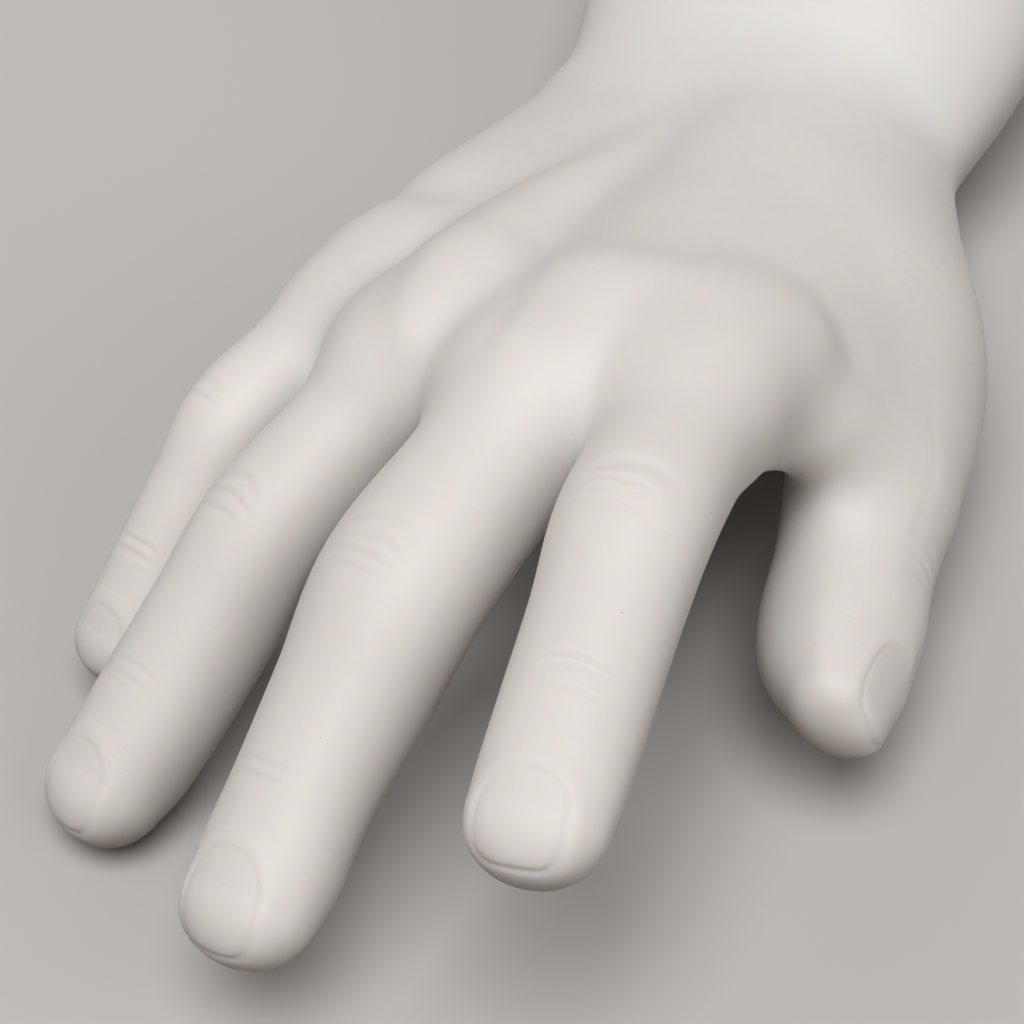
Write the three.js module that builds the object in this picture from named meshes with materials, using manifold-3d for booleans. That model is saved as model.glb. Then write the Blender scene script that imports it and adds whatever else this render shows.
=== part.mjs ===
// Display mannequin hand: a hollow moulded vinyl right hand with a stub of forearm, whose open
// end is closed by a wooden block that carries the steel fitting for an arm or a stand.
//
// Millimetres, +Z up. The hand is drawn in its own frame (origin at the wrist, fingers towards
// -Y, thumb towards +X, back of the hand towards +Z) and then tipped onto the table it lies on.

import * as THREE from 'three';
import { mergeVertices } from 'three/addons/utils/BufferGeometryUtils.js';
import ManifoldModule from 'manifold-3d';

const wasm = await ManifoldModule();
wasm.setup();

// Driving dimensions of the moulding
const WALL = 3;
const FOREARM_LENGTH = 85;
const WRIST_BEND = 38;
const REST_PITCH = 18.05;
const REST_ROLL = 2.15;

// Each finger: knuckle centre, bends at its three joints, spread, twist, bone lengths, and its
// width over the knuckle, the middle joint, the end joint and the nail
const FINGERS = {
  index: {
    knuckle: [22.1, -88.7, 3.1], bends: [13.8, 21.3, -0.9], spread: 0.9, twist: -5.5,
    bones: [40.4, 25.8, 23.9], widths: [22.2, 20.2, 18.7, 18.5],
  },
  middle: {
    knuckle: [4.4, -92.4, 2.2], bends: [31.1, 15.2, 0.8], spread: -18.6, twist: -9.6,
    bones: [46.1, 30.5, 22.6], widths: [21.6, 22.9, 19.1, 19.3],
  },
  ring: {
    knuckle: [-15.7, -86, -1.3], bends: [38.8, 14.9, -4.4], spread: -30.4, twist: -4.5,
    bones: [42.2, 26.7, 22.6], widths: [18.2, 18.6, 19.4, 18.8],
  },
  little: {
    knuckle: [-31.3, -70.9, -6], bends: [28.8, 26, 2.8], spread: -27.5, twist: -5.1,
    bones: [34.5, 22.4, 19.5], widths: [18.8, 15.2, 13.8, 14.2],
  },
};

// Stations along every finger: the bone they lie on, how far along it, the shares of the four
// widths, and the heights above and below the bone as shares of the half width
const FINGER_PROFILE = [
  { bone: 0, along: -0.05, shares: [1, 0, 0, 0], above: 0.62, below: 1.13 },
  { bone: 0, along: 0.3, shares: [0.73, 0.25, 0, 0], above: 0.9, below: 1.07 },
  { bone: 0, along: 0.62, shares: [0.37, 0.57, 0, 0], above: 0.99, below: 1.02 },
  { bone: 1, along: 0, shares: [0, 1, 0, 0], above: 0.93, below: 0.9 },
  { bone: 1, along: 0.5, shares: [0, 0.485, 0.485, 0], above: 0.94, below: 1 },
  { bone: 2, along: 0, shares: [0, 0, 1, 0], above: 0.87, below: 0.94 },
  { bone: 2, along: 0.42, shares: [0, 0, 0, 1], above: 0.8, below: 0.97 },
  { bone: 2, along: 0.74, shares: [0, 0, 0, 0.93], above: 0.68, below: 0.86 },
];
const FINGERTIP_DOME = 0.7;

// The thumb turns its side to the fingers, so it has a profile of its own in real sizes
const THUMB = {
  root: [24, -15.3, -8.6], swing: 19.2, drop: 12.1, twist: 51.2,
  bends: [-2.5, 17, -8.1], bones: [45.8, 29.9, 29.6], tipDome: 6,
};
const THUMB_PROFILE = [
  { bone: 0, along: -0.05, half: 12, above: 8, below: 13 },
  { bone: 0, along: 0.5, half: 13.5, above: 9.6, below: 14.5 },
  { bone: 1, along: 0, half: 13, above: 10.4, below: 13 },
  { bone: 1, along: 0.45, half: 11, above: 10.1, below: 12 },
  { bone: 2, along: 0, half: 11.3, above: 11.2, below: 10.8 },
  { bone: 2, along: 0.3, half: 11.2, above: 9.6, below: 12.4 },
  { bone: 2, along: 0.55, half: 10.5, above: 7.6, below: 11.6 },
  { bone: 2, along: 0.82, half: 8.2, above: 5.7, below: 6.8 },
];

// The four rays of the palm run from the wrist bones to the knuckles
const PALM_RAYS = {
  index: { root: [12, -14, 0], atRoot: [11, 10.5, 17], atKnuckle: [11.4, 8.7, 14.5] },
  middle: { root: [3, -13, 1], atRoot: [11, 10.5, 17], atKnuckle: [11, 8.7, 14.5] },
  ring: { root: [-9, -12, 0], atRoot: [10, 10, 17], atKnuckle: [9.6, 7.8, 13.5] },
  little: { root: [-21, -12, -3], atRoot: [13, 10, 16], atKnuckle: [10, 7.2, 12.6] },
};

// Forearm sections: distance from the wrist, offset to the thumb side, half width, height above
// the axis and below it
const FOREARM_SECTIONS = [
  { out: 95, offset: 2.5, half: 43.5, above: 28, below: 33 },
  { out: 60, offset: 2.5, half: 40.5, above: 25, below: 30 },
  { out: 26, offset: 1, half: 37.2, above: 22, below: 26 },
  { out: 10, offset: 0.2, half: 34.5, above: 18.6, below: 23 },
  { out: -3, offset: 0.5, half: 31.5, above: 17, below: 21 },
];

// Fitting at the cut end, on the axis of the forearm
const SEAT_GAP = 0.3;
const SEAT_LEDGE = 0.8;
const BLOCK_THICKNESS = 15;
const PLATE_DIAMETER = 46;
const PLATE_THICKNESS = 2.5;
const STUD_DIAMETER = 10;
const STUD_COLLAR_DIAMETER = 18;
const STUD_COLLAR_THICKNESS = 2;
const STUD_NECK_LENGTH = 7;
const STUD_HEAD_DIAMETER = 18;
const STUD_HEAD_THICKNESS = 4.5;
const STUD_TAIL = 3;
const WASHER_DIAMETER = 24;
const WASHER_THICKNESS = 2;
const SPRING_WASHER_DIAMETER = 18;
const SPRING_WASHER_THICKNESS = 2.4;
const NUT_ACROSS_FLATS = 17;
const NUT_THICKNESS = 8;
const SCREW_COUNT = 3;
const SCREW_CIRCLE = PLATE_DIAMETER - 13;
const SCREW_DIAMETER = 3.6;
const SCREW_HEAD_DIAMETER = 8;
const SCREW_LENGTH = 14;
const PIN_DIAMETER = 4;
const PIN_LENGTH = 14;
const PIN_STAND = 5;

// How finely the surfaces are divided
const ROUND_STEPS = 28;
const STATION_STEPS = 3;

const radians = THREE.MathUtils.degToRad;
const vector = (x, y, z) => new THREE.Vector3(x, y, z);
const turnX = (angle) => new THREE.Matrix4().makeRotationX(radians(angle));
const turnY = (angle) => new THREE.Matrix4().makeRotationY(radians(angle));
const turnZ = (angle) => new THREE.Matrix4().makeRotationZ(radians(angle));

// Joint centres of a digit and the sideways direction of each of its bones
function skeleton(root, aim, bends, bones) {
  const joints = [vector(...root)];
  const sides = [];
  let turn = aim;
  bends.forEach((bend, i) => {
    turn = turn.clone().multiply(turnX(bend));
    joints.push(vector(0, -bones[i], 0).applyMatrix4(turn).add(joints[i]));
    sides.push(vector(1, 0, 0).applyMatrix4(turn));
  });
  return { joints, sides };
}

// A station on a digit: centre, sideways direction, half width, height above and below
function stationOn(digit, bone, along, half, above, below) {
  const centre = digit.joints[bone].clone().lerp(digit.joints[bone + 1], along);
  return { centre, side: digit.sides[bone], half, above, below };
}

// Distances are only worked out this near to a shape
const FAR = 20;

// A smooth tube of oval sections through its stations, which run towards the fingertips. It is
// kept as short links, each with what distance() needs to know.
function sweep(stations, startDome, endDome, squareness = 2) {
  const curve = (points) => new THREE.CatmullRomCurve3(points, false, 'catmullrom', 0.5);
  const centres = curve(stations.map((s) => s.centre));
  const sides = curve(stations.map((s) => s.side));
  const sizes = curve(stations.map((s) => vector(s.half, s.above, s.below)));
  const count = (stations.length - 1) * STATION_STEPS;
  const reach = Math.max(...stations.map((s) => Math.max(s.half, s.above, s.below)));
  const box = new THREE.Box3();
  const links = [];
  for (let i = 0; i < count; i += 1) {
    const from = centres.getPoint(i / count);
    const to = centres.getPoint((i + 1) / count);
    const run = to.clone().sub(from);
    const length = run.length();
    const along = run.clone().normalize();
    const square = (side) => side.addScaledVector(along, -side.dot(along)).normalize();
    const side0 = square(sides.getPoint(i / count));
    const side1 = square(sides.getPoint((i + 1) / count));
    links.push({
      from, along, length, side0, side1,
      top0: along.clone().cross(side0),
      top1: along.clone().cross(side1),
      size0: sizes.getPoint(i / count),
      size1: sizes.getPoint((i + 1) / count),
      dome0: i === 0 ? startDome : 0,
      dome1: i === count - 1 ? endDome : 0,
    });
    box.expandByPoint(from).expandByPoint(to);
  }
  box.expandByScalar(reach + FAR);
  return { links, box, squareness };
}

// Signed distance, near enough, from a point to a sweep: negative inside
const offset = new THREE.Vector3();
function distance(shape, point) {
  if (!shape.box.containsPoint(point)) return FAR;
  const power = shape.squareness;
  let nearest = FAR;
  for (const link of shape.links) {
    offset.subVectors(point, link.from);
    const travel = offset.dot(link.along);
    const part = THREE.MathUtils.clamp(travel / link.length, 0, 1);
    const past = travel - part * link.length;
    const mix = (a, b) => a + (b - a) * part;
    const x = mix(offset.dot(link.side0), offset.dot(link.side1));
    const z = mix(offset.dot(link.top0), offset.dot(link.top1));
    const half = mix(link.size0.x, link.size1.x);
    const height = z > 0 ? mix(link.size0.y, link.size1.y) : mix(link.size0.z, link.size1.z);
    const dome = (past < 0 ? link.dome0 : link.dome1) || Math.min(half, height);
    const sum = Math.abs(x / half) ** power + Math.abs(z / height) ** power
      + Math.abs(past / dome) ** power;
    const ratio = sum ** (1 / power);
    const radius = ratio > 0.05 ? Math.hypot(x, z, past) / ratio : Math.min(half, height);
    nearest = Math.min(nearest, (ratio - 1) * radius);
  }
  return nearest;
}

// Smooth union: the two surfaces flow into each other over about the given width
function blend(a, b, width) {
  const share = Math.max(width - Math.abs(a - b), 0) / width;
  return Math.min(a, b) - share * share * width / 4;
}

function makeFinger(finger) {
  const aim = turnZ(finger.spread).multiply(turnY(finger.twist));
  const digit = skeleton(finger.knuckle, aim, finger.bends, finger.bones);
  const stations = FINGER_PROFILE.map((s) => {
    const width = s.shares.reduce((sum, share, i) => sum + share * finger.widths[i], 0);
    const half = width / 2;
    return stationOn(digit, s.bone, s.along, half, half * s.above, half * s.below);
  });
  const tip = stations.at(-1).half * FINGERTIP_DOME;
  return { digit, shape: sweep(stations, finger.widths[0] / 2, tip, 2.15) };
}

function makeThumb() {
  const aim = turnZ(THUMB.swing).multiply(turnX(THUMB.drop)).multiply(turnY(THUMB.twist));
  const digit = skeleton(THUMB.root, aim, THUMB.bends, THUMB.bones);
  const stations = THUMB_PROFILE.map((s) => (
    stationOn(digit, s.bone, s.along, s.half, s.above, s.below)
  ));
  return sweep(stations, stations[0].half, THUMB.tipDome, 2.15);
}

function makeRay(ray, knuckle) {
  const root = vector(...ray.root);
  const head = vector(...knuckle);
  const side = vector(1, 0, 0);
  const middle = root.clone().lerp(head, 0.5);
  const between = ray.atRoot.map((size, i) => (size + ray.atKnuckle[i]) / 2);
  const station = (centre, [half, above, below]) => ({ centre, side, half, above, below });
  const stations = [
    station(root, ray.atRoot),
    station(middle, between),
    station(head, ray.atKnuckle),
  ];
  return sweep(stations, 9, 9);
}

const armAxis = vector(0, Math.cos(radians(WRIST_BEND)), Math.sin(radians(WRIST_BEND)));
const armTop = vector(0, -Math.sin(radians(WRIST_BEND)), Math.cos(radians(WRIST_BEND)));

function makeForearm() {
  const stations = FOREARM_SECTIONS.map((s) => ({
    centre: armAxis.clone().multiplyScalar(s.out).add(vector(s.offset, 0, 0)),
    side: vector(1, 0, 0),
    half: s.half,
    above: s.above,
    below: s.below,
  }));
  return sweep(stations, 16, 14, 2.1);
}

// A pad of flesh: an oval body between two or three stations with one tilt
function makePad(points, swing, tilt, sizes) {
  const side = vector(1, 0, 0).applyMatrix4(turnZ(swing).multiply(turnY(tilt)));
  const stations = points.map((point, i) => {
    const [half, above, below] = sizes[i];
    return { centre: vector(...point), side, half, above, below };
  });
  return sweep(stations, 10, 10);
}

// The web between two fingers, a short round bar across their first bones
function makeWeb(fingerA, fingerB, along, radius) {
  const end = (finger) => finger.digit.joints[0].clone().lerp(finger.digit.joints[1], along);
  const from = end(fingerA);
  const to = end(fingerB);
  const side = vector(0, -1, 0);
  const station = (centre) => ({ centre, side, half: radius, above: radius, below: radius });
  return sweep([station(from), station(from.clone().lerp(to, 0.5)), station(to)], radius, radius);
}

const fingers = Object.fromEntries(
  Object.entries(FINGERS).map(([name, finger]) => [name, makeFinger(finger)]),
);
const thumb = makeThumb();
const rays = Object.fromEntries(
  Object.entries(PALM_RAYS).map(([name, ray]) => [name, makeRay(ray, FINGERS[name].knuckle)]),
);
const forearm = makeForearm();
const thumbPad = makePad([[20, -18, -13], [31, -50, -17]], 22, 0, [[14, 14, 13], [14, 13, 14]]);
const heelPad = makePad([[-20, -14, -12], [-26, -48, -12]], -10, 0, [[13, 12, 12], [12, 11, 12]]);
const thumbWeb = makePad(
  [[22, -22, -4], [33, -50, -3], [33, -70, -3], [33, -80, -4]],
  12,
  35,
  [[13, 12, 12], [15, 11, 12], [12, 8, 9], [10, 5, 6]],
);
const webs = [
  makeWeb(fingers.index, fingers.middle, 0.25, 9.5),
  makeWeb(fingers.middle, fingers.ring, 0.3, 7),
  makeWeb(fingers.ring, fingers.little, 0.3, 6),
];
const thumbFold = makePad(
  [[26, -91, 0], [32, -90, -4], [38, -83, -9], [44, -75, -17]],
  0,
  35,
  [[3.5, 3.5, 3.5], [3, 3, 3], [4, 4, 4], [7, 7, 7]],
);

// The hand without its fingers, which the hollow inside follows
function palmField(point) {
  let field = distance(rays.index, point);
  field = blend(field, distance(rays.middle, point), 18);
  field = blend(field, distance(rays.ring, point), 9);
  field = blend(field, distance(rays.little, point), 11);
  field = blend(field, distance(thumbPad, point), 12);
  field = blend(field, distance(heelPad, point), 12);
  return blend(field, distance(forearm, point), 11);
}

function fingerField(point) {
  let field = distance(fingers.index.shape, point);
  field = blend(field, distance(fingers.middle.shape, point), 2.5);
  field = blend(field, distance(fingers.ring.shape, point), 2.5);
  field = blend(field, distance(fingers.little.shape, point), 2.5);
  webs.forEach((web) => {
    field = blend(field, distance(web, point), 10);
  });
  return field;
}

function handField(point) {
  let field = palmField(point);
  field = blend(field, distance(thumbWeb, point), 14);
  field = blend(field, distance(thumbFold, point), 10);
  field = blend(field, distance(thumb, point), 10);
  return blend(field, fingerField(point), 6);
}

const hollowField = (point) => palmField(point) + WALL;

// A lattice that bends and widens along the arm: its spine starts past the fingertips and leans
// with the fingers, the palm and the forearm in turn. Cells are small at the fingers and large at
// the forearm.
const SPINE_START = fingers.middle.digit.joints.at(-1).clone().setX(0).add(vector(0, -18, -3));
const SPINE_LEAN = [[0, 34], [60, 30], [110, 4], [170, 8], [215, 30], [240, WRIST_BEND]];
const CELL_ACROSS = [[0, 3.3], [80, 3.3], [130, 4.2], [190, 5.2], [320, 6]];
const CELL_STRETCH = 1.35;
const SPINE_LENGTH = 322;

function readTable(table, at) {
  const next = table.findIndex(([mark]) => mark > at);
  if (next === -1) return table.at(-1)[1];
  if (next === 0) return table[0][1];
  const [mark0, value0] = table[next - 1];
  const [mark1, value1] = table[next];
  return value0 + (value1 - value0) * (at - mark0) / (mark1 - mark0);
}

function makeLattice(coarseness, cellsAcross, cellsUp) {
  const rows = [];
  const centre = SPINE_START.clone();
  for (let s = 0; s < SPINE_LENGTH;) {
    const lean = radians(readTable(SPINE_LEAN, s));
    const cell = readTable(CELL_ACROSS, s) * coarseness;
    const along = vector(0, Math.cos(lean), Math.sin(lean));
    rows.push({ centre: centre.clone(), up: vector(0, -Math.sin(lean), Math.cos(lean)), cell });
    centre.addScaledVector(along, cell * CELL_STRETCH);
    s += cell * CELL_STRETCH;
  }
  const counts = [Math.ceil(cellsAcross / coarseness), rows.length, Math.ceil(cellsUp / coarseness)];
  const place = (i, j, k) => {
    const { centre: middle, up, cell } = rows[j];
    const across = (i - (counts[0] - 1) / 2) * cell;
    return middle.clone().addScaledVector(up, (k - (counts[2] - 1) / 2) * cell).add(vector(across, 0, 0));
  };
  return { counts, place };
}

// Pull a point onto the surface where the field is zero
function settle(point, field) {
  const step = 0.05;
  for (let round = 0; round < 2; round += 1) {
    const value = field(point);
    const slope = ['x', 'y', 'z'].map((axis) => {
      const ahead = point.clone();
      const behind = point.clone();
      ahead[axis] += step;
      behind[axis] -= step;
      return (field(ahead) - field(behind)) / (2 * step);
    });
    const gradient = vector(...slope);
    const move = gradient.multiplyScalar(value / Math.max(gradient.lengthSq(), 0.1));
    point.sub(move.clampLength(0, 0.8));
  }
  return point;
}

// A lattice cell has 8 corners, numbered by the bits of their x, y and z, and 12 edges, four
// along each axis. This lists the corners and edges in order round each of its six faces.
const CELL_FACES = [0, 1, 2].flatMap((normal) => [0, 1].map((side) => {
  const a = (normal + 1) % 3;
  const b = (normal + 2) % 3;
  const corner = (p, q) => (p << a) | (q << b) | (side << normal);
  return {
    corners: [corner(0, 0), corner(1, 0), corner(1, 1), corner(0, 1)],
    edges: [4 * a + 2 * side, 4 * b + side + 2, 4 * a + 2 * side + 1, 4 * b + side],
  };
}));

// Which edges of a cell lie on one patch of surface, for one pattern of corners inside. Where a
// face could be read two ways, its inside corners are kept apart, so fingers that pass close by
// don't fuse.
function patchesOf(pattern) {
  const patch = Array.from({ length: 12 }, (_, edge) => edge);
  const join = (a, b) => {
    const [from, to] = [patch[a], patch[b]];
    patch.forEach((value, edge) => {
      if (value === from) patch[edge] = to;
    });
  };
  CELL_FACES.forEach(({ corners, edges }) => {
    const inside = corners.map((corner) => (pattern >> corner) & 1);
    const crossed = edges.filter((_, n) => inside[n] !== inside[(n + 1) % 4]);
    if (crossed.length === 2) join(crossed[0], crossed[1]);
    if (crossed.length === 4) {
      inside.forEach((isInside, n) => {
        if (isInside) join(edges[n], edges[(n + 3) % 4]);
      });
    }
  });
  return patch;
}

const PATCHES = Array.from({ length: 256 }, (_, pattern) => patchesOf(pattern));
const AXIS_STEPS = [[1, 0, 0], [0, 1, 0], [0, 0, 1]];

// The surface where a field is zero, as a closed mesh: one vertex for each patch of surface in a
// lattice cell, and one quad round each lattice edge that the surface crosses
function surfaceOf(field, lattice) {
  const [nx, ny, nz] = lattice.counts;
  const index = (i, j, k) => (i * ny + j) * nz + k;
  const points = new Array(nx * ny * nz);
  const values = new Float64Array(nx * ny * nz);
  for (let i = 0; i < nx; i += 1) {
    for (let j = 0; j < ny; j += 1) {
      for (let k = 0; k < nz; k += 1) {
        const place = lattice.place(i, j, k);
        points[index(i, j, k)] = place;
        values[index(i, j, k)] = field(place);
      }
    }
  }
  const patternOf = (i, j, k) => {
    let pattern = 0;
    for (let corner = 0; corner < 8; corner += 1) {
      const at = index(i + (corner & 1), j + ((corner >> 1) & 1), k + (corner >> 2));
      if (values[at] < 0) pattern |= 1 << corner;
    }
    return pattern;
  };
  const vertices = [];
  const vertexOfPatch = new Map();
  const vertexIn = (cell, edge, crossing) => {
    const key = index(...cell) * 12 + PATCHES[patternOf(...cell)][edge];
    if (!vertexOfPatch.has(key)) {
      vertexOfPatch.set(key, vertices.length);
      vertices.push({ sum: vector(0, 0, 0), count: 0 });
    }
    const vertex = vertices[vertexOfPatch.get(key)];
    vertex.sum.add(crossing);
    vertex.count += 1;
    return vertexOfPatch.get(key);
  };
  const quads = [];
  const visitEdge = (here, axis) => {
    const from = index(...here);
    const to = index(...here.map((at, n) => at + AXIS_STEPS[axis][n]));
    const inside = values[from] < 0;
    if (inside === values[to] < 0) return;
    const crossing = points[from].clone().lerp(points[to], values[from] / (values[from] - values[to]));
    const [a, b] = [(axis + 1) % 3, (axis + 2) % 3];
    const quad = [[1, 1], [0, 1], [0, 0], [1, 0]].map(([p, q]) => {
      const cell = here.map((at, n) => at - p * AXIS_STEPS[a][n] - q * AXIS_STEPS[b][n]);
      return vertexIn(cell, 4 * axis + p + 2 * q, crossing);
    });
    quads.push(inside ? quad : quad.reverse());
  };
  for (let i = 1; i < nx - 1; i += 1) {
    for (let j = 1; j < ny - 1; j += 1) {
      for (let k = 1; k < nz - 1; k += 1) {
        AXIS_STEPS.forEach((_, axis) => visitEdge([i, j, k], axis));
      }
    }
  }
  const settled = vertices.map(({ sum, count }) => settle(sum.divideScalar(count), field));
  return meshFromQuads(settled, quads);
}

// Each quad is split along its shorter diagonal
function meshFromQuads(points, quads) {
  const triangles = [];
  quads.forEach(([a, b, c, d]) => {
    const first = points[a].distanceToSquared(points[c]);
    const second = points[b].distanceToSquared(points[d]);
    if (first <= second) triangles.push(a, b, c, a, c, d);
    else triangles.push(a, b, d, b, c, d);
  });
  const positions = new Float32Array(points.length * 3);
  points.forEach((point, i) => point.toArray(positions, i * 3));
  const geometry = new THREE.BufferGeometry();
  geometry.setAttribute('position', new THREE.BufferAttribute(positions, 3));
  geometry.setIndex(triangles);
  return geometry;
}

// Closed geometry to a solid that can be joined and cut, and back
function toSolid(geometry) {
  const bare = geometry.clone();
  bare.deleteAttribute('normal');
  bare.deleteAttribute('uv');
  const merged = mergeVertices(bare, 1e-4);
  const corners = merged.index.array;
  const triangles = [];
  for (let i = 0; i < corners.length; i += 3) {
    const [a, b, c] = [corners[i], corners[i + 1], corners[i + 2]];
    if (a !== b && b !== c && c !== a) triangles.push(a, b, c);
  }
  return new wasm.Manifold(new wasm.Mesh({
    numProp: 3,
    vertProperties: new Float32Array(merged.attributes.position.array),
    triVerts: new Uint32Array(triangles),
  }));
}

function toGeometry(solid) {
  const mesh = solid.getMesh();
  const geometry = new THREE.BufferGeometry();
  geometry.setAttribute('position', new THREE.BufferAttribute(new Float32Array(mesh.vertProperties), 3));
  geometry.setIndex(new THREE.BufferAttribute(new Uint32Array(mesh.triVerts), 1));
  geometry.computeVertexNormals();
  return geometry;
}

const cut = (solid, ...tools) => tools.reduce((rest, tool) => rest.subtract(toSolid(tool)), solid);

// Places along the axis of the fitting, measured out from the mouth of the forearm
const plateFace = 0;
const plateBack = plateFace - PLATE_THICKNESS;
const blockFace = plateBack - SEAT_GAP;
const blockBack = blockFace - BLOCK_THICKNESS;
const washerFace = blockBack - SEAT_GAP;
const washerBack = washerFace - WASHER_THICKNESS;
const springFace = washerBack - SEAT_GAP;
const springBack = springFace - SPRING_WASHER_THICKNESS;
const nutFace = springBack - SEAT_GAP;
const nutBack = nutFace - NUT_THICKNESS;
const pinBottom = PIN_STAND - PIN_LENGTH;

// Size of the forearm at a distance out from the wrist
function forearmAt(out) {
  const sections = FOREARM_SECTIONS.slice().reverse();
  const read = (key) => readTable(sections.map((s) => [s.out, s[key]]), out);
  return { offset: read('offset'), half: read('half'), above: read('above'), below: read('below') };
}

const seat = forearmAt(FOREARM_LENGTH + blockBack);

// Outline of the block's seat in the forearm, its top towards +Y, grown all round by a margin
function seatOutline(margin) {
  const inset = WALL - SEAT_LEDGE - margin;
  const outline = new THREE.Shape();
  outline.absellipse(0, 0, seat.half - inset, seat.above - inset, 0, Math.PI);
  outline.absellipse(0, 0, seat.half - inset, seat.below - inset, Math.PI, 2 * Math.PI);
  return outline;
}

function slab(outline, bottom, top) {
  const settings = { depth: top - bottom, bevelEnabled: false, curveSegments: ROUND_STEPS };
  return new THREE.ExtrudeGeometry(outline, settings).translate(0, 0, bottom);
}

// A turned solid about +Z from a list of [radius, height], bottom to top
function turned(profile, steps = ROUND_STEPS) {
  const points = profile.map(([radius, height]) => new THREE.Vector2(radius, height));
  return new THREE.LatheGeometry(points, steps).rotateX(Math.PI / 2);
}

const rod = (diameter, bottom, top, steps = ROUND_STEPS) => turned(
  [[0, bottom], [diameter / 2, bottom], [diameter / 2, top], [0, top]],
  steps,
);

const screwPlaces = Array.from({ length: SCREW_COUNT }, (_, i) => {
  const angle = Math.PI / 2 + i * 2 * Math.PI / SCREW_COUNT;
  return vector(Math.cos(angle), Math.sin(angle), 0).multiplyScalar(SCREW_CIRCLE / 2);
});
const pinPlace = screwPlaces[0].clone().negate();

// Group at the middle of the mouth: +Z out of the forearm, +Y to the back of the hand
function mouthFrame() {
  const centre = armAxis.clone().multiplyScalar(FOREARM_LENGTH).add(vector(seat.offset, 0, 0));
  const basis = new THREE.Matrix4().makeBasis(vector(-1, 0, 0), armTop, armAxis);
  return basis.setPosition(centre);
}

function makeHandShell() {
  const skin = toSolid(surfaceOf(handField, makeLattice(1, 50, 46)));
  const hollow = surfaceOf(hollowField, makeLattice(1.7, 50, 46));
  const frame = mouthFrame();
  const socket = slab(seatOutline(SEAT_GAP), blockBack - SEAT_GAP, 1).applyMatrix4(frame);
  const beyond = new THREE.BoxGeometry(4 * FOREARM_LENGTH, 4 * FOREARM_LENGTH, FOREARM_LENGTH)
    .translate(0, 0, FOREARM_LENGTH / 2)
    .applyMatrix4(frame);
  return toGeometry(cut(skin, hollow, socket, beyond));
}

function makeWristBlock() {
  const block = toSolid(slab(seatOutline(0), blockBack, blockFace));
  const bore = rod(STUD_DIAMETER + 2 * SEAT_GAP, blockBack - 1, blockFace + 1);
  const pilots = screwPlaces.map(({ x, y }) => (
    rod(SCREW_DIAMETER + 2 * SEAT_GAP, blockFace - SCREW_LENGTH, blockFace + 1, 12).translate(x, y, 0)
  ));
  const pinHole = rod(PIN_DIAMETER + 2 * SEAT_GAP, pinBottom - SEAT_GAP, blockFace + 1, 16)
    .translate(pinPlace.x, pinPlace.y, 0);
  return toGeometry(cut(block, bore, ...pilots, pinHole));
}

// A countersunk screw, head up, its flat head at the given height
const SCREW_HEAD_DEPTH = 2.1;
function screwProfile(top, margin) {
  const head = SCREW_HEAD_DIAMETER / 2 + margin;
  const shank = SCREW_DIAMETER / 2 + margin;
  return { head, shank, neck: top - SCREW_HEAD_DEPTH };
}

function makeFittingPlate() {
  const radius = PLATE_DIAMETER / 2;
  const bevel = 0.5;
  const disc = toSolid(turned([
    [0, plateBack], [radius, plateBack], [radius, plateFace - bevel],
    [radius - bevel, plateFace], [0, plateFace],
  ], 2 * ROUND_STEPS));
  const bore = rod(STUD_DIAMETER + 2 * SEAT_GAP, plateBack - 1, plateFace + 1);
  const sinks = screwPlaces.map(({ x, y }) => {
    const { head, shank, neck } = screwProfile(plateFace, SEAT_GAP);
    const sink = turned([
      [0, plateBack - 1], [shank, plateBack - 1], [shank, neck],
      [head, plateFace], [head, plateFace + 1], [0, plateFace + 1],
    ], 16);
    return sink.translate(x, y, 0);
  });
  const pinHole = rod(PIN_DIAMETER + 2 * SEAT_GAP, plateBack - 1, plateFace + 1, 16)
    .translate(pinPlace.x, pinPlace.y, 0);
  return toGeometry(cut(disc, bore, ...sinks, pinHole));
}

// A wood screw with a tapered point and a cross recess
function makeScrew() {
  const top = plateFace - 0.1;
  const { head, shank, neck } = screwProfile(top, 0);
  const point = top - SCREW_LENGTH;
  const body = toSolid(turned([
    [0, point], [shank * 0.35, point + 1], [shank, point + 4], [shank, neck], [head, top], [0, top],
  ], 16));
  const recess = (angle) => new THREE.BoxGeometry(4.4, 0.9, 2.4)
    .translate(0, 0, top)
    .rotateZ(angle);
  return toGeometry(cut(body, recess(0), recess(Math.PI / 2)));
}

// The stud's collar bears on the plate, and its mushroom head hooks behind a keyhole in the arm
function makeStud() {
  const neckRadius = STUD_DIAMETER / 2;
  const collarBottom = plateFace + SEAT_GAP;
  const collarTop = collarBottom + STUD_COLLAR_THICKNESS;
  const headBottom = collarTop + STUD_NECK_LENGTH;
  const headTop = headBottom + STUD_HEAD_THICKNESS;
  const tail = nutBack - STUD_TAIL;
  return turned([
    [0, tail], [neckRadius - 1, tail], [neckRadius, tail + 1],
    [neckRadius, collarBottom], [STUD_COLLAR_DIAMETER / 2, collarBottom],
    [STUD_COLLAR_DIAMETER / 2, collarTop], [neckRadius, collarTop],
    [neckRadius, headBottom], [STUD_HEAD_DIAMETER / 2, headBottom + 0.8],
    [STUD_HEAD_DIAMETER / 2, headTop - 1.5], [STUD_HEAD_DIAMETER / 2 - 1.5, headTop], [0, headTop],
  ]);
}

function makeRing(diameter, bottom, top) {
  const hole = STUD_DIAMETER / 2 + SEAT_GAP;
  const rim = diameter / 2;
  return turned([[hole, bottom], [rim, bottom], [rim, top], [hole, top], [hole, bottom]]);
}

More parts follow.
